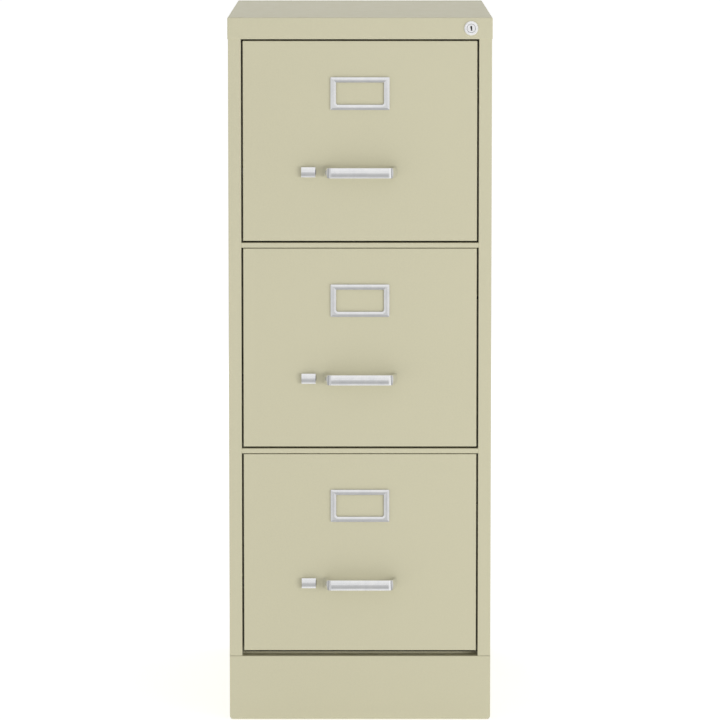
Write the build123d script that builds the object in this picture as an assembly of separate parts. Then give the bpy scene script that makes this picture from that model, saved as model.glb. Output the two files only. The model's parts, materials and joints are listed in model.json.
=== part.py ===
from build123d import *
from math import cos, radians, sin, sqrt
import os

# Three-drawer letter-size vertical filing cabinet, in millimetres.
# +X is the cabinet's right seen from the front, +Y its back, +Z up. The origin is the middle of
# the box around the closed cabinet (handles included) at floor level, so the fronts face -Y.
# Depths named in the comments run from the drawer fronts' plane, FRONT_Y, towards the back.

# ---- driving dimensions ------------------------------------------------------------------------
CASE_WIDTH = 381.0
CASE_DEPTH = 635.0
CASE_HEIGHT = 1021.0
SHEET = 0.8                 # case and drawer steel

HOOD_HEIGHT = 31.0          # top panel's skirt
HOOD_RETURN = 9.0           # inward fold along the skirt's front lower edge
STILE_WIDTH = 18.5          # front return of a side panel
STILE_DEPTH = 19.0          # its second fold, running back beside the drawer fronts
SIDE_FLANGE = 18.0          # back and bottom returns of a side panel
PLINTH_HEIGHT = 93.0
PLINTH_RETURN = 24.0        # ledge on top of the kick plate
PLINTH_LIP = 3.0            # upturned lip at the ledge's back, under the lowest drawer
PLINTH_FOLD = 16.0          # its folds at the sides and the floor
PLINTH_SEAM = 0.4           # between a stile's foot and the kick plate
PLINTH_CORNER = 5.0         # kick plate's lower corners and the walls' lower bends

DRAWER_NAMES = ["lower", "middle", "upper"]
FIRST_DRAWER_Z = 101.5      # bottom edge of the lowest drawer front
DRAWER_PITCH = 299.0
FRONT_WIDTH = 337.0
FRONT_HEIGHT = 288.0
FRONT_THICKNESS = 19.0      # folded depth of a drawer front
BODY_SIDE_HEIGHT = 245.0    # high sides that carry hanging folders
BODY_LENGTH = 575.0
BODY_RISE = 6.0             # drawer bottom above the front's lower edge
BACK_HEIGHT = 200.0

RAIL_HEIGHT = 7.2           # cross rail between two drawers
RAIL_DEPTH = 18.0
RAIL_GAP = 1.0              # between a drawer front's top and the rail above it

SLIDE_LENGTH = 560.0
SLIDE_THICKNESS = 12.7
SLIDE_START = 20.0          # depth of the slides' front end
SLIDE_RISE = 60.0           # slide centre above the drawer front's lower edge
SLIDE_STEEL = 1.2
CAGE_STEEL = 0.5
CAGE_LENGTH = 270.0
CAGE_START = 145.0          # along the slide, drawer closed
BALL_RADIUS = 2.05
BALLS_PER_ROW = 4

UPRIGHT_WIDTH = 40.0
UPRIGHT_LIP = 9.0
UPRIGHT_DEPTHS = [54.0, 540.0]
UPRIGHT_BOTTOM = 40.0
UPRIGHT_TOP = 985.0

BEND = 1.0                  # outside radius of the visible folds

HANDLE_SPAN = 108.5         # over the feet
HANDLE_BAR = 97.0           # over the front bar's corners
HANDLE_REACH = 29.0
HANDLE_HEIGHT = 14.8
HANDLE_THICKNESS = 3.0      # in the middle of its convex section
HANDLE_CORNER = 10.0
GRIP_CROWN = 22.0           # radius of the convex face of handles and thumb latch buttons
HANDLE_DROP = 181.0         # front's top edge down to the handle's top
BOSS_X, BOSS_RADIUS, BOSS_LENGTH = 48.9, 2.9, 11.0
SCREW_RADIUS = 1.6
SCREW_HEAD_RADIUS = 3.5

LABEL_WIDTH, LABEL_HEIGHT = 85.0, 47.0
WINDOW_WIDTH, WINDOW_HEIGHT = 69.0, 32.0
LABEL_DROP = 52.0           # front's top edge down to the holder's top
LABEL_THICKNESS = 2.8
LABEL_BEVEL = (3.0, 0.5)    # width across the border, depth
CARD_SLOT = 1.3

BUTTON_X = -74.4
BUTTON_WIDTH, BUTTON_HEIGHT, BUTTON_REACH = 20.4, 14.8, 8.0
BOLT_HEIGHT, BOLT_STEEL = 12.0, 1.5
BOLT_TIP_GAP = 0.7          # drawn-back bolt to the stile's fold
BOLT_DEPTH = 5.0            # depth of the bolt's front face
LATCH_BACK, LATCH_FORWARD = 6.0, 4.0    # bolt travel away from and into the stile
SPRING_RADIUS, SPRING_WIRE = 3.0, 0.4
SPRING_LENGTH, SPRING_TURNS = 24.0, 8

LOCK_X, LOCK_Z = 159.6, 1005.7
LOCK_RING_RADIUS, LOCK_RING_REACH, LOCK_RING_ROUND = 10.4, 2.4, 2.0
LOCK_BARREL_RADIUS, LOCK_BACK = 9.0, 9.0
LOCK_HOLE_GAP = 0.1         # around the barrel in the hood's skirt
NUT_RADIUS, NUT_THICKNESS = 11.0, 3.0
PLUG_RADIUS, PLUG_CLEARANCE = 6.3, 0.05
KEYHOLE_WIDTH, KEYHOLE_HEIGHT, KEYHOLE_DEPTH = 2.6, 7.0, 6.0
KEYHOLE_LOWER = (2.0, 0.4)  # width of the keyhole's lower half, and its offset to the right
TANG_HALF, TANG_LENGTH = 2.5, 3.2
CAM_RADIUS = 9.0            # plug axis to cam pin
CAM_PIN_RADIUS = 1.5
CAM_HUB_RADIUS, CAM_END_RADIUS = 4.6, 2.6
CAM_START_DEG = -45.0       # the cam pin's direction with the cabinet unlocked
CAM_SLACK = 0.6             # around the pin in the lock bar's slot
LOCK_BAR_DEPTH, LOCK_BAR_STEEL = 13.0, 2.0
LOCK_BAR_X = (176.0, 186.0)
FINGER_TIP_X = 164.5
FINGER_HEIGHT = 4.0
CATCH_RISE = 215.0          # lock finger above the drawer front's lower edge

GLIDE_RADIUS, GLIDE_FOOT, GLIDE_X = 12.0, 5.0, 158.0
STEM_RADIUS, STEM_HEIGHT = 4.0, 34.0
COLLAR_RADIUS, COLLAR_HEIGHT = 7.5, 6.0
GLIDE_DEPTHS = [46.0, 602.0]
CHANNEL_WIDTH, CHANNEL_BOTTOM, CHANNEL_TOP = 36.0, 10.0, 24.0
HEAVY_SHEET = 1.2           # uprights and base channels

# ---- derived places ----------------------------------------------------------------------------
FRONT_Y = -(CASE_DEPTH - SHEET - HANDLE_REACH) / 2
SIDE_X = CASE_WIDTH / 2 - SHEET             # outer face of a side panel, inside the hood
OPENING_X = SIDE_X - STILE_WIDTH            # free width between the stiles, each side
HOOD_BOTTOM = CASE_HEIGHT - HOOD_HEIGHT
CASE_TOP = CASE_HEIGHT - SHEET - 1          # top of the walls, under the hood
BODY_X = 155.6                              # outer face of a drawer side
SLIDE_X = BODY_X + SLIDE_THICKNESS          # outer face of the slides
LINER_DEPTH = FRONT_THICKNESS - SHEET
LOCK_LIFT = 2 * CAM_RADIUS * sin(radians(-CAM_START_DEG))
BOLT_TIP_X = -(OPENING_X - BOLT_TIP_GAP)

# Half heights of the nested slide channels' flanges, and of the two ball tracks between them
OUTER_HALF, MIDDLE_HALF, INNER_HALF = 22.8, 16.9, 11.0
OUTER_TRACK = (OUTER_HALF - SLIDE_STEEL + MIDDLE_HALF) / 2
INNER_TRACK = (MIDDLE_HALF - SLIDE_STEEL + INNER_HALF) / 2


def block(x, y, z):
    """A box from its low and high X, depth behind the front plane, and Z."""
    box = Box(x[1] - x[0], y[1] - y[0], z[1] - z[0], align=(Align.MIN, Align.MIN, Align.MIN))
    return Pos(x[0], FRONT_Y + y[0], z[0]) * box


def drum(x, y, z, radius):
    """A round bar along Y between two depths."""
    bar = Cylinder(radius, y[1] - y[0], align=(Align.CENTER, Align.CENTER, Align.MIN))
    return Pos(x, FRONT_Y + y[0], z) * Rot(-90, 0, 0) * bar


def mirrored(shape):
    return mirror(shape, about=Plane.YZ)


def both_sides(shape):
    """The shape and its mirror image as two separate solids."""
    return [*shape.solids(), *mirrored(shape).solids()]


def edges_at(shape, axis, place):
    """The edges that lie wholly in the plane where the axis has this value."""
    return shape.edges().filter_by_position(axis, place - 0.01, place + 0.01)


def drawer_bottom(index):
    return FIRST_DRAWER_Z + index * DRAWER_PITCH


def grip_z(index):
    """Height of the handle's and the thumb latch's middle."""
    return drawer_bottom(index) + FRONT_HEIGHT - HANDLE_DROP - HANDLE_HEIGHT / 2


# ---- case --------------------------------------------------------------------------------------
def top_panel():
    """A hood folded over the case's top, with a return under the front skirt and the lock's hole."""
    half, back, high = CASE_WIDTH / 2, CASE_DEPTH - SHEET, CASE_HEIGHT
    hood = block((-half, half), (-SHEET, back), (HOOD_BOTTOM, high))
    corners = hood.edges().filter_by(Axis.Z)
    hood = hood.fillet(1.5, corners)
    hood = hood.fillet(1.2, edges_at(hood, Axis.Z, high))
    hood -= block((-SIDE_X, SIDE_X), (0, back - SHEET), (HOOD_BOTTOM - 1, high - SHEET))
    fold = block((-FRONT_WIDTH / 2, FRONT_WIDTH / 2), (-SHEET, HOOD_RETURN),
                 (HOOD_BOTTOM, HOOD_BOTTOM + SHEET))
    hood += fold
    lower = [e for e in edges_at(hood, Axis.Z, HOOD_BOTTOM).filter_by(Axis.X)
             if e.center().Y < FRONT_Y - SHEET / 2]
    hood = hood.fillet(SHEET - 0.1, lower)
    return hood - drum(LOCK_X, (-2, 2), LOCK_Z, LOCK_BARREL_RADIUS + LOCK_HOLE_GAP)


def right_side_panel():
    """A folded wall: outer sheet, stile with its inner fold, back and bottom returns, lock slots."""
    back = CASE_DEPTH - 2 * SHEET
    inner = SIDE_X - SHEET
    wall = block((inner, SIDE_X), (0, back), (PLINTH_HEIGHT, CASE_TOP))
    wall += block((inner, SIDE_X), (SHEET, back), (PLINTH_CORNER, PLINTH_HEIGHT))
    foot_z = PLINTH_HEIGHT + PLINTH_SEAM
    stile = block((OPENING_X, SIDE_X), (0, SHEET), (foot_z, CASE_TOP))
    fold = block((OPENING_X, OPENING_X + SHEET), (0, STILE_DEPTH), (foot_z, HOOD_BOTTOM - 1))
    back_return = block((SIDE_X - SIDE_FLANGE, SIDE_X), (back - SHEET, back), (PLINTH_CORNER, CASE_TOP))
    bend_x = SIDE_X - PLINTH_CORNER
    bend = drum(bend_x, (SHEET, back), PLINTH_CORNER, PLINTH_CORNER)
    bend -= drum(bend_x, (0, back + 1), PLINTH_CORNER, PLINTH_CORNER - SHEET)
    bend &= block((bend_x, SIDE_X), (0, back), (0, PLINTH_CORNER))
    foot = block((SIDE_X - SIDE_FLANGE, bend_x), (PLINTH_RETURN, back), (0, SHEET))
    panel = wall + stile + fold + back_return + bend + foot
    bends = [e for e in edges_at(panel, Axis.Y, FRONT_Y).filter_by(Axis.Z)
             if e.length > PLINTH_HEIGHT]
    return panel.fillet(SHEET - 0.1, bends)


def lock_side_panel():
    """The right wall, with a slot beside each drawer for the lock bar's finger."""
    panel = right_side_panel()
    for index in range(len(DRAWER_NAMES)):
        low = drawer_bottom(index) + CATCH_RISE - FINGER_HEIGHT / 2
        high = low + FINGER_HEIGHT + LOCK_LIFT
        panel -= block((OPENING_X - 1, OPENING_X + 2),
                       (LOCK_BAR_DEPTH - 0.8, LOCK_BAR_DEPTH + LOCK_BAR_STEEL + 0.8),
                       (low - 1, high + 1))
    return panel


def latch_side_panel():
    """The left wall, with a slot beside each drawer for the thumb latch's bolt."""
    panel = mirrored(right_side_panel())
    for index in range(len(DRAWER_NAMES)):
        panel -= block((-OPENING_X - 2, -OPENING_X + 1),
                       (BOLT_DEPTH - 0.6, BOLT_DEPTH + BOLT_STEEL + 0.6),
                       (grip_z(index) - BOLT_HEIGHT / 2 - 0.6, grip_z(index) + BOLT_HEIGHT / 2 + 0.6))
    return panel


def back_panel():
    """A flat sheet inside the walls' back returns, with a stiffening fold at top and bottom."""
    back = CASE_DEPTH - 3 * SHEET
    half = SIDE_X - SHEET
    sheet = block((-half, half), (back - SHEET, back), (SHEET, CASE_TOP))
    for low in (SHEET, CASE_TOP - SHEET):
        sheet += block((-OPENING_X, OPENING_X), (back - 13, back), (low, low + SHEET))
    return sheet


def kick_plate():
    """The plinth's front: round lower corners, a ledge and lip on top, folds at sides and floor."""
    half = SIDE_X
    plate = block((-half, half), (0, SHEET), (0, PLINTH_HEIGHT))
    corners = [e for e in plate.edges().filter_by(Axis.Y) if e.center().Z < 1]
    plate = plate.fillet(PLINTH_CORNER, corners)
    inner, flat = half - SHEET, half - PLINTH_CORNER
    top_bend = [e for e in edges_at(plate, Axis.Y, FRONT_Y) if e.center().Z > PLINTH_HEIGHT - 1]
    plate = plate.fillet(SHEET - 0.1, top_bend)
    plate += block((-inner, inner), (SHEET, PLINTH_RETURN), (PLINTH_HEIGHT - SHEET, PLINTH_HEIGHT))
    plate += block((-OPENING_X, OPENING_X), (PLINTH_RETURN - SHEET, PLINTH_RETURN),
                   (PLINTH_HEIGHT, PLINTH_HEIGHT + PLINTH_LIP))
    plate += block((-flat, flat), (0, PLINTH_FOLD), (0, SHEET))
    for side in both_sides(block((inner - SHEET, inner), (0, PLINTH_FOLD), (PLINTH_CORNER, PLINTH_HEIGHT))):
        plate += side
    return plate


def base_channel(depth):
    """An inverted channel from wall to wall that carries two glides."""
    inner, half = SIDE_X - SHEET, CHANNEL_WIDTH / 2
    bar = block((-inner, inner), (depth - half, depth + half), (CHANNEL_BOTTOM, CHANNEL_TOP))
    wide = inner + 1
    bar -= block((-wide, wide), (depth - half + HEAVY_SHEET, depth + half - HEAVY_SHEET),
                 (CHANNEL_BOTTOM - 1, CHANNEL_TOP - HEAVY_SHEET))
    for x in (-GLIDE_X, GLIDE_X):
        bar -= Pos(x, FRONT_Y + depth, CHANNEL_TOP) * Cylinder(STEM_RADIUS + 0.2, 6)
    return bar


def glide(x, depth):
    """A screw-in glide: floor disc, threaded stem and the hex collar that carries the channel."""
    at = Pos(x, FRONT_Y + depth, 0)
    up = (Align.CENTER, Align.CENTER, Align.MIN)
    disc = Cylinder(GLIDE_RADIUS, GLIDE_FOOT, align=up)
    disc = disc.fillet(2, edges_at(disc, Axis.Z, GLIDE_FOOT))
    stem = Cylinder(STEM_RADIUS, STEM_HEIGHT, align=up)
    collar_foot = CHANNEL_TOP - HEAVY_SHEET - COLLAR_HEIGHT
    collar = Pos(0, 0, collar_foot) * extrude(RegularPolygon(COLLAR_RADIUS, 6), COLLAR_HEIGHT)
    return at * (disc + stem + collar)


def rail(index):
    """The cross channel above a drawer, between the stiles."""
    low = drawer_bottom(index) + FRONT_HEIGHT + RAIL_GAP
    bar = block((-OPENING_X, OPENING_X), (0, RAIL_DEPTH), (low, low + RAIL_HEIGHT))
    bar = bar.fillet(BEND, [e for e in edges_at(bar, Axis.Y, FRONT_Y) if e.length > 100])
    hollow = block((-OPENING_X - 1, OPENING_X + 1), (SHEET, RAIL_DEPTH + 1),
                   (low + SHEET, low + RAIL_HEIGHT - SHEET))
    return bar - hollow


def upright(depth):
    """A right-hand hat-section post on the side wall, with the slides on its flat face."""
    half, wall = UPRIGHT_WIDTH / 2, SIDE_X - SHEET
    span = (UPRIGHT_BOTTOM, UPRIGHT_TOP)
    post = block((SLIDE_X, wall), (depth - half, depth + half), span)
    post -= block((SLIDE_X + HEAVY_SHEET, wall + 1), (depth - half + HEAVY_SHEET, depth + half - HEAVY_SHEET),
                  (span[0] - 1, span[1] + 1))
    for low in (depth - half - UPRIGHT_LIP, depth + half - HEAVY_SHEET):
        post += block((wall - HEAVY_SHEET, wall), (low, low + UPRIGHT_LIP + HEAVY_SHEET), span)
    return post


# ---- lock --------------------------------------------------------------------------------------
def lock_housing():
    ring = drum(LOCK_X, (-SHEET - LOCK_RING_REACH, -SHEET), LOCK_Z, LOCK_RING_RADIUS)
    ring = ring.fillet(LOCK_RING_ROUND, edges_at(ring, Axis.Y, FRONT_Y - SHEET - LOCK_RING_REACH))
    barrel = drum(LOCK_X, (-SHEET, LOCK_BACK), LOCK_Z, LOCK_BARREL_RADIUS)
    nut = Plane.XZ.offset(-FRONT_Y) * Pos(LOCK_X, LOCK_Z) * RegularPolygon(NUT_RADIUS, 6)
    nut = extrude(nut, -NUT_THICKNESS)
    bore = drum(LOCK_X, (-10, LOCK_BACK + 1), LOCK_Z, PLUG_RADIUS + PLUG_CLEARANCE)
    return ring + barrel + nut - bore


def tang(y):
    """The square end of the plug, between two depths."""
    return block((LOCK_X - TANG_HALF, LOCK_X + TANG_HALF), y, (LOCK_Z - TANG_HALF, LOCK_Z + TANG_HALF))


def lock_plug():
    """The turning core, with its keyhole and the square tang that carries the cam."""
    face = -SHEET - LOCK_RING_REACH + 0.5
    plug = drum(LOCK_X, (face, LOCK_BACK), LOCK_Z, PLUG_RADIUS)
    plug = plug.chamfer(0.5, None, edges_at(plug, Axis.Y, FRONT_Y + face))
    half_high = KEYHOLE_HEIGHT / 2
    lower_width, lower_offset = KEYHOLE_LOWER
    for width, offset, low, high in ((KEYHOLE_WIDTH, 0, -0.5, half_high),
                                     (lower_width, lower_offset, -half_high, 0.5)):
        middle = LOCK_X + offset
        slot = block((middle - width / 2, middle + width / 2), (face - 1, face + KEYHOLE_DEPTH),
                     (LOCK_Z + low, LOCK_Z + high))
        plug -= slot.fillet(0.5, slot.edges().filter_by(Axis.Y))
    return plug + tang((LOCK_BACK, LOCK_BACK + TANG_LENGTH))


def lock_cam():
    """A short lever on the plug's tang whose pin works in the lock bar's slot."""
    near, far = LOCK_BACK + 0.2, LOCK_BACK + 2.2
    reach = CAM_RADIUS * cos(radians(CAM_START_DEG)), CAM_RADIUS * sin(radians(CAM_START_DEG))
    pin_x, pin_z = LOCK_X + reach[0], LOCK_Z + reach[1]
    lever = drum(LOCK_X, (near, far), LOCK_Z, CAM_HUB_RADIUS)
    lever += drum(pin_x, (near, far), pin_z, CAM_END_RADIUS)
    arm = Pos(LOCK_X + reach[0] / 2, FRONT_Y + near, LOCK_Z + reach[1] / 2) * Rot(0, -CAM_START_DEG, 0)
    lever += arm * Box(CAM_RADIUS, far - near, 2 * CAM_END_RADIUS,
                       align=(Align.CENTER, Align.MIN, Align.CENTER))
    lever += drum(pin_x, (near, LOCK_BAR_DEPTH + LOCK_BAR_STEEL + 1), pin_z, CAM_PIN_RADIUS)
    return lever - tang((near - 1, far + 1))


def lock_bar():
    """The strip inside the right stile, with one finger for each drawer and the cam's slot on top."""
    depth = (LOCK_BAR_DEPTH, LOCK_BAR_DEPTH + LOCK_BAR_STEEL)
    slot_z = LOCK_Z + CAM_RADIUS * sin(radians(CAM_START_DEG))
    slot_low = LOCK_X + CAM_RADIUS * cos(radians(CAM_START_DEG)) - CAM_PIN_RADIUS - CAM_SLACK
    slot_high = LOCK_X + CAM_RADIUS + CAM_PIN_RADIUS + CAM_SLACK
    half = CAM_PIN_RADIUS + CAM_SLACK
    foot = drawer_bottom(0) + CATCH_RISE - 15
    bar = block(LOCK_BAR_X, depth, (foot, slot_z + half + 2.5))
    bar += block((slot_low - 2.5, LOCK_BAR_X[1]), depth, (slot_z - half - 2.5, slot_z + half + 2.5))
    bar -= block((slot_low, slot_high), (depth[0] - 1, depth[1] + 1), (slot_z - half, slot_z + half))
    for index in range(len(DRAWER_NAMES)):
        middle = drawer_bottom(index) + CATCH_RISE
        bar += block((FINGER_TIP_X, LOCK_BAR_X[1]), depth,
                     (middle - FINGER_HEIGHT / 2, middle + FINGER_HEIGHT / 2))
    return bar


# ---- slides ------------------------------------------------------------------------------------
def channel(web, lips, half):
    """A right-hand slide channel: web and flange tips at these X, flanges at plus and minus half."""
    low, high = min(web, lips), max(web, lips)
    far = SLIDE_START + SLIDE_LENGTH
    body = block((low, high), (SLIDE_START, far), (-half, half))
    inside = (low - 1, high - SLIDE_STEEL) if web > lips else (low + SLIDE_STEEL, high + 1)
    return body - block(inside, (SLIDE_START - 1, far + 1), (SLIDE_STEEL - half, half - SLIDE_STEEL))


def slide_height(index):
    return drawer_bottom(index) + SLIDE_RISE


def cabinet_member():
    """The fixed channel, open towards the drawer."""
    return channel(SLIDE_X, BODY_X + 1.6, OUTER_HALF)


def intermediate_member():
    return channel(SLIDE_X - 2.1, BODY_X + 2.4, MIDDLE_HALF)


def drawer_member():
    """The channel on the drawer's side, open outwards."""
    return channel(BODY_X, SLIDE_X - 4.4, INNER_HALF)


def ball_cage(web, track):
    """A thin cage: its web beside a channel's web, and two flanges with a row of balls in each."""
    start = SLIDE_START + CAGE_START
    far = start + CAGE_LENGTH
    tip = BODY_X + 3
    half = CAGE_STEEL / 2
    cage = block((tip, web), (start, far), (-track - half, track + half))
    cage -= block((tip - 1, web - CAGE_STEEL), (start - 1, far + 1), (half - track, track - half))
    ball_x = (tip + web - CAGE_STEEL) / 2
    balls = []
    for number in range(BALLS_PER_ROW):
        depth = start + CAGE_LENGTH * (number + 0.5) / BALLS_PER_ROW
        cage -= Pos(ball_x, FRONT_Y + depth, 0) * Cylinder(BALL_RADIUS + 0.15, 2 * track + 4)
        for z in (-track, track):
            balls.append(Pos(ball_x, FRONT_Y + depth, z) * Sphere(BALL_RADIUS))
    return [cage, *balls]


def pair(shapes, index):
    """Right and left pieces at a drawer's slide height."""
    lift = Pos(0, 0, slide_height(index))
    return [solid for shape in shapes for solid in both_sides(lift * shape)]


# ---- drawer ------------------------------------------------------------------------------------
def drawer_front(index):
    """A pan folded from one sheet, open at the back, with its holes and the lock's hook slot."""
    low, half = drawer_bottom(index), FRONT_WIDTH / 2
    middle, high = grip_z(index), drawer_bottom(index) + FRONT_HEIGHT
    pan = block((-half, half), (0, FRONT_THICKNESS), (low, high))
    pan = pan.fillet(BEND, edges_at(pan, Axis.Y, FRONT_Y))
    pan -= block((SHEET - half, half - SHEET), (SHEET, FRONT_THICKNESS + 1), (low + SHEET, high - SHEET))
    for x in (-BOSS_X, BOSS_X):
        pan -= drum(x, (-1, 2), middle, SCREW_RADIUS + 0.2)
    pan -= block((BUTTON_X - 5 - LATCH_FORWARD, BUTTON_X + 5 + LATCH_BACK), (-1, 2),
                 (middle - 3.5, middle + 3.5))
    pan -= block((-half - 1, 2 - half), (BOLT_DEPTH - 0.6, BOLT_DEPTH + BOLT_STEEL + 0.6),
                 (middle - BOLT_HEIGHT / 2 - 0.6, middle + BOLT_HEIGHT / 2 + 0.6))
    catch = low + CATCH_RISE
    edge = (half - 2, half + 1)
    pan -= block(edge, (LOCK_BAR_DEPTH - 0.6, FRONT_THICKNESS + 1), (catch - 3, catch + 3))
    pan -= block(edge, (LOCK_BAR_DEPTH - 0.6, LOCK_BAR_DEPTH + LOCK_BAR_STEEL + 0.6),
                 (catch - 3, catch + LOCK_LIFT + 3))
    anchor = spring_x() + SPRING_LENGTH
    return pan + block((anchor, anchor + 1.2), (0, 12), (spring_z(index) - 5, spring_z(index) + 5))


def drawer_front_liner(index):
    """The flat inner skin that closes the pan, notched for the lock bar's finger."""
    low, half = drawer_bottom(index) + SHEET, FRONT_WIDTH / 2 - SHEET
    high = low + FRONT_HEIGHT - 2 * SHEET
    liner = block((-half, half), (LINER_DEPTH, FRONT_THICKNESS), (low, high))
    catch = drawer_bottom(index) + CATCH_RISE
    return liner - block((FINGER_TIP_X - 1.5, half + 1), (0, FRONT_THICKNESS + 1), (catch - 3, catch + 3))


def drawer_body(index):
    """Bottom and high sides in one folded sheet, with tabs on the liner and rounded top corners."""
    low = drawer_bottom(index) + BODY_RISE
    high = low + BODY_SIDE_HEIGHT
    start, far = FRONT_THICKNESS, FRONT_THICKNESS + BODY_LENGTH
    trough = block((-BODY_X, BODY_X), (start, far), (low, high))
    trough = trough.fillet(20, [e for e in trough.edges().filter_by(Axis.X)
                                if e.center().Z > high - 1 and e.center().Y > 0])
    inner = BODY_X - SHEET
    trough -= block((-inner, inner), (start - 1, far + 1), (low + SHEET, high + 1))
    for tab in both_sides(block((inner - 14, inner), (start, start + SHEET), (low + 30, high - 6))):
        trough += tab
    return trough


def drawer_back(index):
    """The rear wall, with a flange folded forward along its top."""
    low = drawer_bottom(index) + BODY_RISE + SHEET
    far = FRONT_THICKNESS + BODY_LENGTH
    inner = BODY_X - SHEET
    wall = block((-inner, inner), (far - 1 - SHEET, far - 1), (low, low + BACK_HEIGHT))
    return wall + block((-inner, inner), (far - 14, far - 1), (low + BACK_HEIGHT - SHEET, low + BACK_HEIGHT))


def crowned(width, depth, sharp):
    """A plate's upright section: face convex by GRIP_CROWN in +X, back flat at -depth, rims eased."""
    half, sag = width / 2, GRIP_CROWN - sqrt(GRIP_CROWN**2 - width**2 / 4)
    face = ThreePointArc((-sag, -half), (0, 0), (-sag, half))
    back = Polyline((-sag, half), (-depth, half), (-depth, -half), (-sag, -half))
    section = make_face([*face.edges(), *back.edges()])
    return fillet(section.vertices(), radius=sharp)


def handle(index):
    """A bail of crowned strap, its legs leaning in, with a tapped boss inside each foot."""
    foot, bar, tip = HANDLE_SPAN / 2, HANDLE_BAR / 2, FRONT_Y - HANDLE_REACH
    over = 2    # past the front plane, trimmed off below
    out = foot + over * (foot - bar) / HANDLE_REACH
    path = FilletPolyline((-out, FRONT_Y + over), (-bar, tip), (bar, tip), (out, FRONT_Y + over),
                          radius=HANDLE_CORNER)
    path = Pos(0, 0, grip_z(index)) * path
    start = Plane(path @ 0, x_dir=(path % 0).cross(Vector(0, 0, 1)), z_dir=path % 0)
    bail = sweep(start * crowned(HANDLE_HEIGHT, HANDLE_THICKNESS, 0.4), path=path)
    for x in (-BOSS_X, BOSS_X):
        bail += drum(x, (-BOSS_LENGTH, 0), grip_z(index), BOSS_RADIUS)
        bail -= drum(x, (1 - BOSS_LENGTH, 1), grip_z(index), SCREW_RADIUS)
    return bail - block((-foot - 5, foot + 5), (0, 10), (grip_z(index) - 20, grip_z(index) + 20))


def handle_screw(x, index):
    """A pan-head screw from inside the front, its slot cut across the head."""
    head = drum(x, (SHEET, SHEET + 2.8), grip_z(index), SCREW_HEAD_RADIUS)
    head = head.fillet(1.2, edges_at(head, Axis.Y, FRONT_Y + SHEET + 2.8))
    shank = drum(x, (-8, SHEET), grip_z(index), SCREW_RADIUS)
    groove = block((x - 5, x + 5), (SHEET + 1.6, SHEET + 4), (grip_z(index) - 0.5, grip_z(index) + 0.5))
    return head + shank - groove


def label_holder(index):
    """A pressed frame, bevelled along both sides of its border; a card drops in behind from the top."""
    top = drawer_bottom(index) + FRONT_HEIGHT - LABEL_DROP
    low, half = top - LABEL_HEIGHT, LABEL_WIDTH / 2
    border = (LABEL_HEIGHT - WINDOW_HEIGHT) / 2
    frame = block((-half, half), (-LABEL_THICKNESS, 0), (low, top))
    face = frame.faces().sort_by(Axis.Y)[0]
    frame = frame.chamfer(*LABEL_BEVEL, face.edges(), face)
    frame = frame.fillet(1, frame.edges().filter_by(Axis.Y))
    window = block((-WINDOW_WIDTH / 2, WINDOW_WIDTH / 2), (-LABEL_THICKNESS - 1, 1),
                   (low + border, top - border))
    frame -= window.fillet(3, [e for e in window.edges().filter_by(Axis.Y)
                               if e.center().Z < low + border + 1])
    face = frame.faces().sort_by(Axis.Y)[0]
    frame = frame.chamfer(*LABEL_BEVEL, face.inner_wires()[0].edges(), face)
    return frame - block((-half + 3, half - 3), (-CARD_SLOT, 1), (low + 3, top + 1))


def thumb_latch_button(index):
    """The slide button beside the handle, crowned like it, on a shank through the front."""
    middle, low = grip_z(index), BUTTON_X - BUTTON_WIDTH / 2
    # 0.2 mm off the painted face, because it slides on it
    section = crowned(BUTTON_HEIGHT, BUTTON_REACH - 0.2, 0.4)
    start = Plane((low, FRONT_Y - BUTTON_REACH, middle), x_dir=(0, -1, 0), z_dir=(1, 0, 0))
    button = extrude(start * section, BUTTON_WIDTH, dir=(1, 0, 0))
    return button + block((BUTTON_X - 4, BUTTON_X + 4), (-1, BOLT_DEPTH), (middle - 3, middle + 3))


def spring_x():
    """Where the latch spring starts, against the bolt's tab."""
    return BUTTON_X - 14


def spring_z(index):
    return grip_z(index) - 13


def latch_bolt(index):
    """The sliding strip behind the front; its tip enters the left stile, its tab bears the spring."""
    middle, half = grip_z(index), BOLT_HEIGHT / 2
    depth = (BOLT_DEPTH, BOLT_DEPTH + BOLT_STEEL)
    strip = block((BOLT_TIP_X, BUTTON_X + 10), depth, (middle - half, middle + half))
    tip = [e for e in strip.edges().filter_by(Axis.Y) if e.center().X < BOLT_TIP_X + 1]
    strip = strip.fillet(2, tip)
    start = spring_x()
    strip += block((start - 1.2, start + 5), depth, (middle - half - 3, middle))
    return strip + block((start - 1.2, start), (2, 12), (spring_z(index) - 5, middle - half))


def latch_spring(index):
    """A compression spring along X between the bolt's tab and the front's lug."""
    mean = SPRING_RADIUS - SPRING_WIRE
    coil_length = SPRING_LENGTH - 2 * SPRING_WIRE - 0.2
    coil = Helix(coil_length / SPRING_TURNS, coil_length, mean)
    wire = sweep(Plane(coil @ 0, z_dir=coil % 0) * Circle(SPRING_WIRE), path=coil, is_frenet=True)
    return Pos(spring_x() + SPRING_WIRE + 0.1, FRONT_Y + 7.5, spring_z(index)) * Rot(0, 90, 0) * wire


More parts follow.
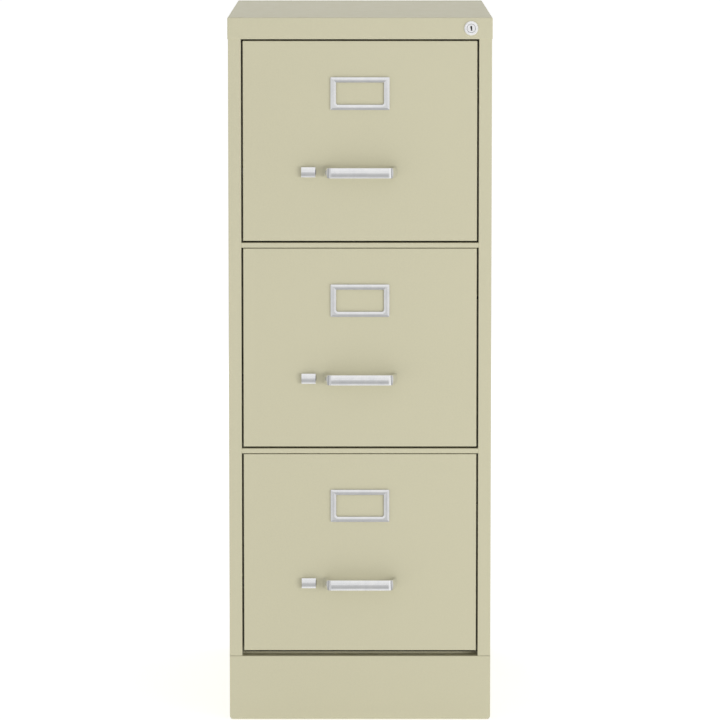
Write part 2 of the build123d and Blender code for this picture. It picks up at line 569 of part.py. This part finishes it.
# ---- files -------------------------------------------------------------------------------------
def case_nodes():
    front, rear = UPRIGHT_DEPTHS
    count = len(DRAWER_NAMES)
    glides = [glide(x, depth) for x in (-GLIDE_X, GLIDE_X) for depth in GLIDE_DEPTHS]
    return {
        "top_panel": [top_panel()],
        "left_side_panel": [latch_side_panel()],
        "right_side_panel": [lock_side_panel()],
        "back_panel": [back_panel()],
        "kick_plate": [kick_plate()],
        "base_channels": [base_channel(depth) for depth in GLIDE_DEPTHS],
        "levelling_glides": glides,
        "front_rail_lower": [rail(0)],
        "front_rail_upper": [rail(1)],
        "right_front_upright": [upright(front)],
        "right_rear_upright": [upright(rear)],
        "left_front_upright": [mirrored(upright(front))],
        "left_rear_upright": [mirrored(upright(rear))],
        "cabinet_slide_members": [s for i in range(count) for s in pair([cabinet_member()], i)],
        "lock_housing": [lock_housing()],
        "lock_plug": [lock_plug()],
        "lock_cam": [lock_cam()],
        "lock_bar": [lock_bar()],
    }


def drawer_nodes(index):
    outer_web, inner_web = SLIDE_X - SLIDE_STEEL - 0.2, SLIDE_X - 2.1 - SLIDE_STEEL - 0.2
    return {
        "drawer_front": [drawer_front(index)],
        "drawer_front_liner": [drawer_front_liner(index)],
        "drawer_body": [drawer_body(index)],
        "drawer_back": [drawer_back(index)],
        "handle": [handle(index)],
        "handle_screws": [handle_screw(x, index) for x in (-BOSS_X, BOSS_X)],
        "label_holder": [label_holder(index)],
        "thumb_latch_button": [thumb_latch_button(index)],
        "latch_bolt": [latch_bolt(index)],
        "latch_spring": [latch_spring(index)],
        "drawer_slide_members": pair([drawer_member()], index),
        "intermediate_slide_members": pair([intermediate_member()], index),
        "outer_ball_cages": pair(ball_cage(outer_web, OUTER_TRACK), index),
        "inner_ball_cages": pair(ball_cage(inner_web, INNER_TRACK), index),
    }


def write(node, shapes):
    solids = [solid for shape in shapes for solid in shape.solids()]
    export_step(solids[0] if len(solids) == 1 else Compound(children=solids), f"parts/{node}.step")


os.makedirs("parts", exist_ok=True)
for node, shapes in case_nodes().items():
    write(node, shapes)
for index, name in enumerate(DRAWER_NAMES):
    for node, shapes in drawer_nodes(index).items():
        write(f"{name}_{node}", shapes)
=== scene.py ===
import json
import math

import bmesh
import bpy
from mathutils import Matrix, Vector


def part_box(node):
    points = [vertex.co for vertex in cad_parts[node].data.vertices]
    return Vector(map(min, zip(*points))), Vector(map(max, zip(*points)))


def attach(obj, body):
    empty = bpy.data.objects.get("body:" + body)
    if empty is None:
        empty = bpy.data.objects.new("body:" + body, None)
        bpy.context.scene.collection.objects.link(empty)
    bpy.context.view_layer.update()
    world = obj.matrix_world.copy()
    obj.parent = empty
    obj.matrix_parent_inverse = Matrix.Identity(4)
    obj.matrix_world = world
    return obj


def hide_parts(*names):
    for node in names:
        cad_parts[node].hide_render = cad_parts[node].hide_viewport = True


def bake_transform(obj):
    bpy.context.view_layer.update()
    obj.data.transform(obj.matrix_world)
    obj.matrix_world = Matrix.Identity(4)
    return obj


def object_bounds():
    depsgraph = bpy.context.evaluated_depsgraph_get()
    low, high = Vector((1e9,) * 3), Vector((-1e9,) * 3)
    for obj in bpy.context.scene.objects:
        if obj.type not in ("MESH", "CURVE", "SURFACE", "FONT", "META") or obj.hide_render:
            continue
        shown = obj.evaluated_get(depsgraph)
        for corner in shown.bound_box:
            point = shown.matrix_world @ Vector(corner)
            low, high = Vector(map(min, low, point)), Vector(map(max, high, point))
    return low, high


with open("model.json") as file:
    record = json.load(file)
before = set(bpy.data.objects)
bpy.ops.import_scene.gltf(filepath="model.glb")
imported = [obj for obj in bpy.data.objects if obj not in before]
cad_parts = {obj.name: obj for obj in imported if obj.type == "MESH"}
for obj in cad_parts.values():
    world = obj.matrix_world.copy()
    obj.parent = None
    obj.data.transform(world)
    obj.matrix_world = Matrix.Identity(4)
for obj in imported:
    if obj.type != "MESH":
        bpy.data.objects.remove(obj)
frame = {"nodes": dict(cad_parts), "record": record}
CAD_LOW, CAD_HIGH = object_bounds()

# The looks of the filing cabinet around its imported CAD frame. All sizes are in metres, in the
# frame's axes: the drawer fronts face -Y and the floor is at Z 0.

DRAWERS = ("lower", "middle", "upper")
NODES = frame["nodes"]
MM = 0.001
SHEET = 0.8 * MM            # case and drawer steel
FRONT_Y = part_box("upper_drawer_front")[0].y


# ---- node helpers ------------------------------------------------------------------------------
class Finish:
    """A material whose Principled shader is fed by a few procedural nodes."""

    def __init__(self, name, **constants):
        self.material = bpy.data.materials.new(name)
        self.material.use_nodes = True
        self.tree = self.material.node_tree
        self.shader = self.tree.nodes["Principled BSDF"]
        for socket, value in constants.items():
            self.shader.inputs[socket.replace("_", " ")].default_value = value
        self.place = self.node("ShaderNodeTexCoord").outputs["Object"]

    def node(self, kind, **settings):
        made = self.tree.nodes.new(kind)
        for key, value in settings.items():
            setattr(made, key, value)
        return made

    def join(self, source, target):
        self.tree.links.new(source, target)

    def noise(self, scale, detail=2.0, stretch=(1, 1, 1), seed=0.0):
        """Noise with features of about 1/scale metres, drawn out along an axis by a small stretch."""
        mapping = self.node("ShaderNodeMapping")
        mapping.inputs["Scale"].default_value = stretch
        mapping.inputs["Location"].default_value = (seed, seed * 0.7, seed * 1.3)
        self.join(self.place, mapping.inputs["Vector"])
        texture = self.node("ShaderNodeTexNoise")
        texture.inputs["Scale"].default_value = scale
        texture.inputs["Detail"].default_value = detail
        self.join(mapping.outputs["Vector"], texture.inputs["Vector"])
        return texture.outputs["Fac"]

    def spread(self, source, low, high, start=0.3, end=0.7):
        """The source's middle stretch, from start to end, taken to low and high."""
        ranged = self.node("ShaderNodeMapRange")
        for socket, value in (("From Min", start), ("From Max", end), ("To Min", low), ("To Max", high)):
            ranged.inputs[socket].default_value = value
        self.join(source, ranged.inputs["Value"])
        return ranged.outputs["Result"]

    def blend(self, factor, first, second):
        """A colour between two, each a colour or another node's output."""
        mix = self.node("ShaderNodeMix", data_type="RGBA")
        self.join(factor, mix.inputs["Factor"])
        for socket, colour in ((mix.inputs[6], first), (mix.inputs[7], second)):
            if isinstance(colour, bpy.types.NodeSocket):
                self.join(colour, socket)
            else:
                socket.default_value = (*colour, 1)
        return mix.outputs[2]

    def bump(self, height, distance, strength=1.0, under=None):
        made = self.node("ShaderNodeBump")
        made.inputs["Strength"].default_value = strength
        made.inputs["Distance"].default_value = distance
        self.join(height, made.inputs["Height"])
        if under is not None:
            self.join(under, made.inputs["Normal"])
        return made.outputs["Normal"]

    def wear(self, colour=None, roughness=None, normal=None):
        """Feeds the shader's colour, roughness and normal."""
        for source, socket in ((colour, "Base Color"), (roughness, "Roughness"), (normal, "Normal")):
            if source is not None:
                self.join(source, self.shader.inputs[socket])
        return self.material


# ---- materials ---------------------------------------------------------------------------------
FLOOR_GLOW = 0.47           # keeps the floor white beside the cabinet's soft shadow


def putty_enamel():
    """Baked enamel: a satin putty cream with the fine orange peel of sprayed paint."""
    paint = Finish("putty_enamel", Specular_IOR_Level=0.32)
    cloud = paint.spread(paint.noise(3.5, 3), 0, 1)
    speck = paint.spread(paint.noise(420, 2, seed=5), 0, 1)
    even = paint.blend(cloud, (0.566, 0.540, 0.385), (0.580, 0.553, 0.395))
    colour = paint.blend(speck, even, (0.590, 0.562, 0.400))
    rough = paint.spread(paint.noise(60, 3, seed=9), 0.40, 0.50)
    peel = paint.bump(paint.noise(330, 2, seed=2), 0.00016, 0.5)
    skin = paint.bump(paint.noise(1500, 1, seed=7), 0.00004, 0.5, peel)
    return paint.wear(colour, rough, skin)


def bright_chrome():
    """Plated and buffed zinc casting: mirror bright with a soft haze and faint polishing waves."""
    chrome = Finish("bright_chrome", Metallic=1.0)
    tint = chrome.blend(chrome.spread(chrome.noise(90, 2), 0, 1), (0.84, 0.845, 0.855), (0.90, 0.90, 0.90))
    rough = chrome.spread(chrome.noise(240, 3, (0.25, 1, 1), 3), 0.10, 0.19)
    swell = chrome.bump(chrome.noise(38, 1, (1, 1, 0.5), 4), 0.0006, 0.5)
    waves = chrome.bump(chrome.noise(140, 2, (0.3, 1, 1), 6), 0.00006, 0.4, swell)
    hair = chrome.bump(chrome.noise(2600, 1, (0.12, 1, 1), 8), 0.00001, 0.3, waves)
    return chrome.wear(tint, rough, hair)


def satin_plating():
    """The lock's satin plating, paler and duller than the chrome, with fine brush marks."""
    plating = Finish("satin_plating", Metallic=0.7)
    cloud = plating.spread(plating.noise(500, 2), 0, 1)
    tint = plating.blend(cloud, (0.93, 0.93, 0.94), (0.97, 0.97, 0.97))
    rough = plating.spread(plating.noise(900, 2, seed=4), 0.26, 0.36)
    brushed = plating.bump(plating.noise(2200, 2, (1, 1, 0.2), 3), 0.00001, 0.3)
    return plating.wear(tint, rough, brushed)


def zinc_steel():
    """Rolled steel with bright zinc: long drawing streaks along the section and cloudy patches."""
    zinc = Finish("zinc_steel", Metallic=1.0)
    cloud = zinc.spread(zinc.noise(28, 4), 0, 1)
    streak = zinc.spread(zinc.noise(900, 2, (1, 0.02, 1), 4), 0, 1)
    base = zinc.blend(cloud, (0.50, 0.51, 0.53), (0.62, 0.63, 0.64))
    colour = zinc.blend(streak, base, (0.68, 0.69, 0.70))
    rough = zinc.spread(zinc.noise(120, 3, (1, 0.1, 1), 2), 0.30, 0.48)
    lines = zinc.bump(zinc.noise(1400, 2, (1, 0.02, 1), 1), 0.00003, 0.6)
    return zinc.wear(colour, rough, lines)


def spring_steel():
    """Drawn wire: darker than the zinc, with a faint oily variation."""
    wire = Finish("spring_steel", Metallic=1.0)
    colour = wire.blend(wire.spread(wire.noise(300, 2), 0, 1), (0.30, 0.30, 0.31), (0.46, 0.45, 0.44))
    rough = wire.spread(wire.noise(500, 2, seed=3), 0.25, 0.4)
    return wire.wear(colour, rough, wire.bump(wire.noise(3000, 1), 0.00001, 0.3))


def dark_steel():
    """Black phosphated and oiled steel, cloudy and slightly worn to brown-grey."""
    steel = Finish("dark_steel", Metallic=1.0)
    cloud = steel.spread(steel.noise(150, 4), 0, 1)
    colour = steel.blend(cloud, (0.035, 0.034, 0.033), (0.085, 0.080, 0.074))
    rough = steel.spread(steel.noise(400, 2, seed=3), 0.42, 0.58)
    return steel.wear(colour, rough, steel.bump(steel.noise(1200, 2), 0.00002, 0.5))


def studio_floor():
    """A matt pale floor with an almost invisible mottle."""
    floor = Finish("studio_floor", Specular_IOR_Level=0.0, Emission_Color=(1, 1, 1, 1),
                   Emission_Strength=FLOOR_GLOW)
    colour = floor.blend(floor.noise(6, 3), (0.90, 0.90, 0.90), (0.93, 0.93, 0.93))
    rough = floor.spread(floor.noise(40, 2), 0.7, 0.8)
    return floor.wear(colour, rough, floor.bump(floor.noise(200, 2), 0.0001, 0.2))


def painted_shadow_floor():
    """The floor under the cabinet, painted near black as the shadow where no studio light reaches."""
    shade = Finish("painted_shadow_floor", Specular_IOR_Level=0.0)
    # near-black: painted shadow of the cabinet on the floor
    colour = shade.blend(shade.noise(6, 3), (0.10, 0.10, 0.09), (0.14, 0.14, 0.13))
    return shade.wear(colour, shade.spread(shade.noise(40, 2), 0.7, 0.8))


PAINT = putty_enamel()
CHROME = bright_chrome()
ZINC = zinc_steel()
WIRE = spring_steel()
# dark steel for the parts in the dark_steel slot, and also the near-black of the painted shade inside the
# keyhole and the plug's groove
DARK_STEEL_AND_SHADE = dark_steel()
PLATING = satin_plating()
PLATED_NODES = ("lock_housing", "lock_plug")
FINISH = {"putty_paint": PAINT, "chrome": CHROME, "zinc_steel": ZINC, "dark_steel": DARK_STEEL_AND_SHADE}


# ---- carried-over CAD nodes --------------------------------------------------------------------
def dress_cad_nodes():
    """Gives every CAD node its slot's procedural material, and the lock's face its own plating."""
    slots = {part["node"]: part["material_slot"] for part in frame["record"]["subparts"]}
    for name, piece in NODES.items():
        piece.data.materials.clear()
        piece.data.materials.append(PLATING if name in PLATED_NODES else FINISH[slots[name]])


# ---- pieces built here -------------------------------------------------------------------------
def new_piece(name, mesh_maker, body, material):
    """A mesh object from a bmesh, riding on a body, or left unattached if it is None."""
    work = bmesh.new()
    mesh_maker(work)
    bmesh.ops.recalc_face_normals(work, faces=work.faces)
    mesh = bpy.data.meshes.new(name)
    work.to_mesh(mesh)
    work.free()
    mesh.materials.append(material)
    mesh.polygons.foreach_set("use_smooth", [True] * len(mesh.polygons))
    piece = bpy.data.objects.new(name, mesh)
    bpy.context.scene.collection.objects.link(piece)
    if body is not None:
        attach(piece, body)
    return piece


def add_lathed(work, profile, place, steps=20):
    """Turns a profile of (radius, height) points round the place matrix's Z axis."""
    rings = []
    for radius, height in profile:
        if radius == 0:
            rings.append([work.verts.new(place @ Vector((0, 0, height)))])
            continue
        turn = [2 * math.pi * step / steps for step in range(steps)]
        rings.append([work.verts.new(place @ Vector((radius * math.cos(a), radius * math.sin(a), height)))
                      for a in turn])
    for low, high in zip(rings, rings[1:]):
        for step in range(steps):
            ahead = (step + 1) % steps
            corners = [low[step % len(low)], low[ahead % len(low)],
                       high[ahead % len(high)], high[step % len(high)]]
            unique = list(dict.fromkeys(corners))
            if len(unique) > 2:
                work.faces.new(unique)


def dome_profile(radius, height, rings=5):
    """A closed lens: flat below, a quarter-ellipse dome above."""
    profile = [(0, 0)]
    for ring in range(rings + 1):
        angle = math.pi / 2 * ring / rings
        profile.append((radius * math.cos(angle) if ring < rings else 0, height * math.sin(angle)))
    return profile


def add_latch_spring(drawer):
    """The latch's compression spring as a coil, from the latch bolt to the front's lug."""
    low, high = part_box(f"{drawer}_latch_spring")
    wire, turns, per_turn, sides = 0.4 * MM, 8, 20, 8
    coil = (high.z - low.z) / 2 - wire
    centre = Vector((0, (low.y + high.y) / 2, (low.z + high.z) / 2))
    start, length = low.x + wire, high.x - low.x - 2 * wire
    along = Vector((1, 0, 0))
    round_wire = [2 * math.pi * side / sides for side in range(sides)]

    def make(work):
        rings = []
        for step in range(turns * per_turn + 1):
            angle = 2 * math.pi * step / per_turn
            out = Vector((0, math.cos(angle), math.sin(angle)))
            middle = centre + out * coil + along * (start + length * step / (turns * per_turn))
            rings.append([work.verts.new(middle + wire * (out * math.cos(turn) + along * math.sin(turn)))
                          for turn in round_wire])
        for first, second in zip(rings, rings[1:]):
            for side in range(sides):
                ahead = (side + 1) % sides
                work.faces.new((first[side], first[ahead], second[ahead], second[side]))
        work.faces.new(rings[0])
        work.faces.new(rings[-1])

    spring = new_piece(f"{drawer}_latch_coil", make, None, WIRE)
    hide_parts(f"{drawer}_latch_spring")
    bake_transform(spring)


RIVET_SHARES = (0.08, 0.36, 0.64, 0.92)     # along the slide's length


def add_slide_rivets(drawer):
    """Rivet heads inside the drawer, which hold its slide members to its sides."""
    low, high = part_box(f"{drawer}_drawer_slide_members")
    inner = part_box(f"{drawer}_drawer_body")[1].x - SHEET
    height = (low.z + high.z) / 2
    length = high.y - low.y
    head = dome_profile(3.2 * MM, 1.1 * MM)

    def make(work):
        for side in (-1, 1):
            inward = Matrix.Rotation(-side * math.pi / 2, 4, "Y")
            for share in RIVET_SHARES:
                place = Matrix.Translation((side * inner, low.y + share * length, height))
                add_lathed(work, head, place @ inward)

    new_piece(f"{drawer}_slide_rivets", make, f"{drawer}_drawer", ZINC)


def add_spot_welds():
    """The faint spot welds that hold the back panel to the walls' back returns."""
    low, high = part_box("back_panel")
    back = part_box("left_side_panel")[1].y
    inset, count = 9 * MM, 9
    first, last = low.z + 50 * MM, high.z - 70 * MM
    rise = (last - first) / (count - 1)
    weld = dome_profile(3.0 * MM, 0.3 * MM, 4)
    backward = Matrix.Rotation(-math.pi / 2, 4, "X")

    def make(work):
        for side in (-1, 1):
            for number in range(count):
                place = Matrix.Translation((side * (high.x - inset), back, first + number * rise))
                add_lathed(work, weld, place @ backward)

    new_piece("back_spot_welds", make, "case", PAINT)


def add_keyway_painted_shade():
    """The tumbler stack inside the keyhole, just below the plug's face, coloured near black as painted
    shade for the hole.
    """
    low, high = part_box("lock_plug")
    centre_x, centre_z = (low.x + high.x) / 2, (low.z + high.z) / 2
    face = low.y + 0.35 * MM
    depth = 4 * MM
    # upper and lower halves of the keyhole: low X, high X, low Z, high Z from the plug's axis
    halves = ((-1.25, 1.25, -0.45, 3.45), (-0.55, 1.35, -3.45, 0.45))

    def make(work):
        for near_x, far_x, near_z, far_z in halves:
            corners = [(near_x, near_z), (far_x, near_z), (far_x, far_z), (near_x, far_z)]
            rings = [[work.verts.new((centre_x + x * MM, y, centre_z + z * MM)) for x, z in corners]
                     for y in (face, face + depth)]
            work.faces.new(rings[0])
            work.faces.new(rings[1])
            for side in range(4):
                ahead = (side + 1) % 4
                work.faces.new((rings[0][side], rings[0][ahead], rings[1][ahead], rings[1][side]))

    # a near-black piece: painted shade inside the keyhole
    new_piece("lock_keyway_painted_shade", make, "lock_core", DARK_STEEL_AND_SHADE)


def add_plug_groove_painted_shade():
    """A flat near-black band set in the plug's chamfer: painted shade for the groove between the lock's
    plug and its ring.
    """
    low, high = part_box("lock_plug")
    sunk, thick = 0.12 * MM, 0.2 * MM
    centre = Vector(((low.x + high.x) / 2, low.y + sunk, (low.z + high.z) / 2))
    outer = (high.x - low.x) / 2
    inner = outer - 0.35 * MM
    profile = ((inner, 0), (outer, 0), (outer, thick), (inner, thick), (inner, 0))
    facing = Matrix.Translation(centre) @ Matrix.Rotation(-math.pi / 2, 4, "X")

    def make(work):
        add_lathed(work, profile, facing, 40)
        bmesh.ops.remove_doubles(work, verts=work.verts, dist=0.001 * MM)

    # a near-black band: painted shade in the groove round the plug
    new_piece("lock_plug_groove_painted_shade", make, "lock_core", DARK_STEEL_AND_SHADE)


# ---- studio ------------------------------------------------------------------------------------
SKY_LEVEL = 0.62            # even light from all round
# what polished metal mirrors ahead of it, as (height, level): 0 straight down, 0.5 the horizon
AHEAD_BANDS = ((0.0, 1.0), (0.17, 0.98), (0.23, 0.58), (0.30, 0.48), (0.44, 0.62), (0.465, 0.70),
               (0.485, 0.88), (0.57, 0.84), (0.65, 0.91), (1.0, 0.92))
# and what it mirrors aside, as (place, level): 0 the far left, 1 the far right
SIDE_BANDS = ((0.0, 0.55), (0.10, 0.35), (0.16, 0.75), (0.30, 0.62), (0.36, 0.85), (0.66, 0.9),
              (0.74, 1.0), (0.86, 1.0), (0.90, 0.35), (1.0, 0.7))
# how much the side bands take over, as (how far aside, share)
ASIDE_BLEND = ((0.0, 0.0), (0.12, 0.0), (0.50, 1.0))
# each lamp's name, place, target, (width, height) and power in watts
SOFTBOXES = (
    ("key", (2.3, -3.4, 0.52), (0, FRONT_Y, 0.40), (2.4, 0.8), 34),
    ("top", (0, 0.4, 3.0), (0, 0.4, 1.0), (2.0, 0.8), 5),
    ("rear", (-1.2, 4.0, 1.6), (0, CAD_HIGH.y, 0.5), (1.8, 1.2), 12),
)
CAMERA_DISTANCE = 7.0       # in front of the drawer fronts
CAMERA_RISE = 0.297         # above the cabinet's top
CAMERA_TILT = math.radians(6.45)
CAMERA_LENS = 243.6         # millimetres, on a 36 mm sensor


def lay_ground(name, corners, height, material, in_mirrors):
    """A flat piece of the studio's ground, seen in polished metal or not."""
    work = bmesh.new()
    work.faces.new([work.verts.new((x, y, 0)) for x, y in corners])
    mesh = bpy.data.meshes.new(name)
    work.to_mesh(mesh)
    work.free()
    mesh.materials.append(material)
    ground = bpy.data.objects.new(name, mesh)
    ground.location.z = height
    ground.visible_glossy = in_mirrors
    bpy.context.scene.collection.objects.link(ground)


def lay_floor():
    """A pale floor disc far larger than any view of it, and the patch of painted shadow under the cabinet.
    """
    radius, sides = 60, 96
    turns = [2 * math.pi * side / sides for side in range(sides)]
    disc = [(radius * math.cos(turn), radius * math.sin(turn)) for turn in turns]
    lay_ground("studio_floor", disc, -0.4 * MM, studio_floor(), False)
    edge = 3 * MM
    low_x, high_x = CAD_LOW.x + edge, CAD_HIGH.x - edge
    low_y, high_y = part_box("kick_plate")[0].y + edge, CAD_HIGH.y - edge
    patch = [(low_x, low_y), (high_x, low_y), (high_x, high_y), (low_x, high_y)]
    # a near-black patch: painted shadow under the cabinet
    lay_ground("painted_shadow_under_cabinet", patch, -0.2 * MM, painted_shadow_floor(), True)


def light_world():
    """An even white studio; polished metal sees darker bands low in front and at the sides."""
    world = bpy.data.worlds.new("studio")
    world.use_nodes = True
    tree = world.node_tree
    tree.nodes.clear()

    def node(kind, **settings):
        made = tree.nodes.new(kind)
        for key, value in settings.items():
            setattr(made, key, value)
        return made

    def math_node(operation, source, *values):
        made = node("ShaderNodeMath", operation=operation)
        tree.links.new(source, made.inputs[0])
        for socket, value in zip(made.inputs[1:], values):
            socket.default_value = value
        return made.outputs[0]

    def ramp(source, stops):
        made = node("ShaderNodeValToRGB")
        while len(made.color_ramp.elements) < len(stops):
            made.color_ramp.elements.new(0.5)
        for element, (position, level) in zip(made.color_ramp.elements, stops):
            element.position = position
            element.color = (level, level, level, 1)
        tree.links.new(source, made.inputs["Fac"])
        return made.outputs["Color"]

    def mix(factor, first, second):
        made = node("ShaderNodeMix", data_type="RGBA")
        tree.links.new(factor, made.inputs["Factor"])
        for socket, colour in ((made.inputs[6], first), (made.inputs[7], second)):
            if isinstance(colour, float):
                socket.default_value = (colour, colour, colour, 1)
            else:
                tree.links.new(colour, socket)
        return made.outputs[2]

    split = node("ShaderNodeSeparateXYZ")
    tree.links.new(node("ShaderNodeTexCoord").outputs["Generated"], split.inputs["Vector"])
    # from -1..1 to 0..1
    height = math_node("MULTIPLY_ADD", split.outputs["Z"], 0.5, 0.5)
    across = math_node("MULTIPLY_ADD", split.outputs["X"], 0.5, 0.5)
    aside = ramp(math_node("ABSOLUTE", split.outputs["X"]), ASIDE_BLEND)
    seen_in_metal = mix(aside, ramp(height, AHEAD_BANDS), ramp(across, SIDE_BANDS))
    path = node("ShaderNodeLightPath")
    light = mix(path.outputs["Is Glossy Ray"], SKY_LEVEL, seen_in_metal)
    backdrop = mix(path.outputs["Is Camera Ray"], light, 1.0)
    sky, out = node("ShaderNodeBackground"), node("ShaderNodeOutputWorld")
    tree.links.new(backdrop, sky.inputs["Color"])
    tree.links.new(sky.outputs["Background"], out.inputs["Surface"])
    bpy.context.scene.world = world


def add_softbox(name, place, target, size, power):
    """A soft lamp that polished metal doesn't mirror."""
    light = bpy.data.lights.new(name, "AREA")
    light.shape = "RECTANGLE"
    light.size, light.size_y = size
    light.energy = power
    box = bpy.data.objects.new(name, light)
    box.location = place
    box.visible_glossy = False
    box.rotation_mode = "QUATERNION"
    box.rotation_quaternion = (Vector(target) - Vector(place)).to_track_quat("-Z", "Y")
    bpy.context.scene.collection.objects.link(box)


def set_camera():
    """A long lens straight in front, above the cabinet's top and tilted a little down."""
    eye = Vector((0, FRONT_Y - CAMERA_DISTANCE, CAD_HIGH.z + CAMERA_RISE))
    ahead = Vector((0, math.cos(CAMERA_TILT), -math.sin(CAMERA_TILT)))
    data = bpy.data.cameras.new("camera")
    data.lens = CAMERA_LENS
    data.sensor_width = 36
    data.clip_end = 100
    camera = bpy.data.objects.new("camera", data)
    camera.location = eye
    camera.rotation_mode = "QUATERNION"
    camera.rotation_quaternion = ahead.to_track_quat("-Z", "Y")
    bpy.context.scene.collection.objects.link(camera)
    bpy.context.scene.camera = camera


dress_cad_nodes()
for drawer in DRAWERS:
    add_latch_spring(drawer)
    add_slide_rivets(drawer)
add_spot_welds()
add_keyway_painted_shade()
add_plug_groove_painted_shade()
lay_floor()
light_world()
for lamp in SOFTBOXES:
    add_softbox(*lamp)
set_camera()
bpy.context.scene.view_settings.view_transform = "Standard"
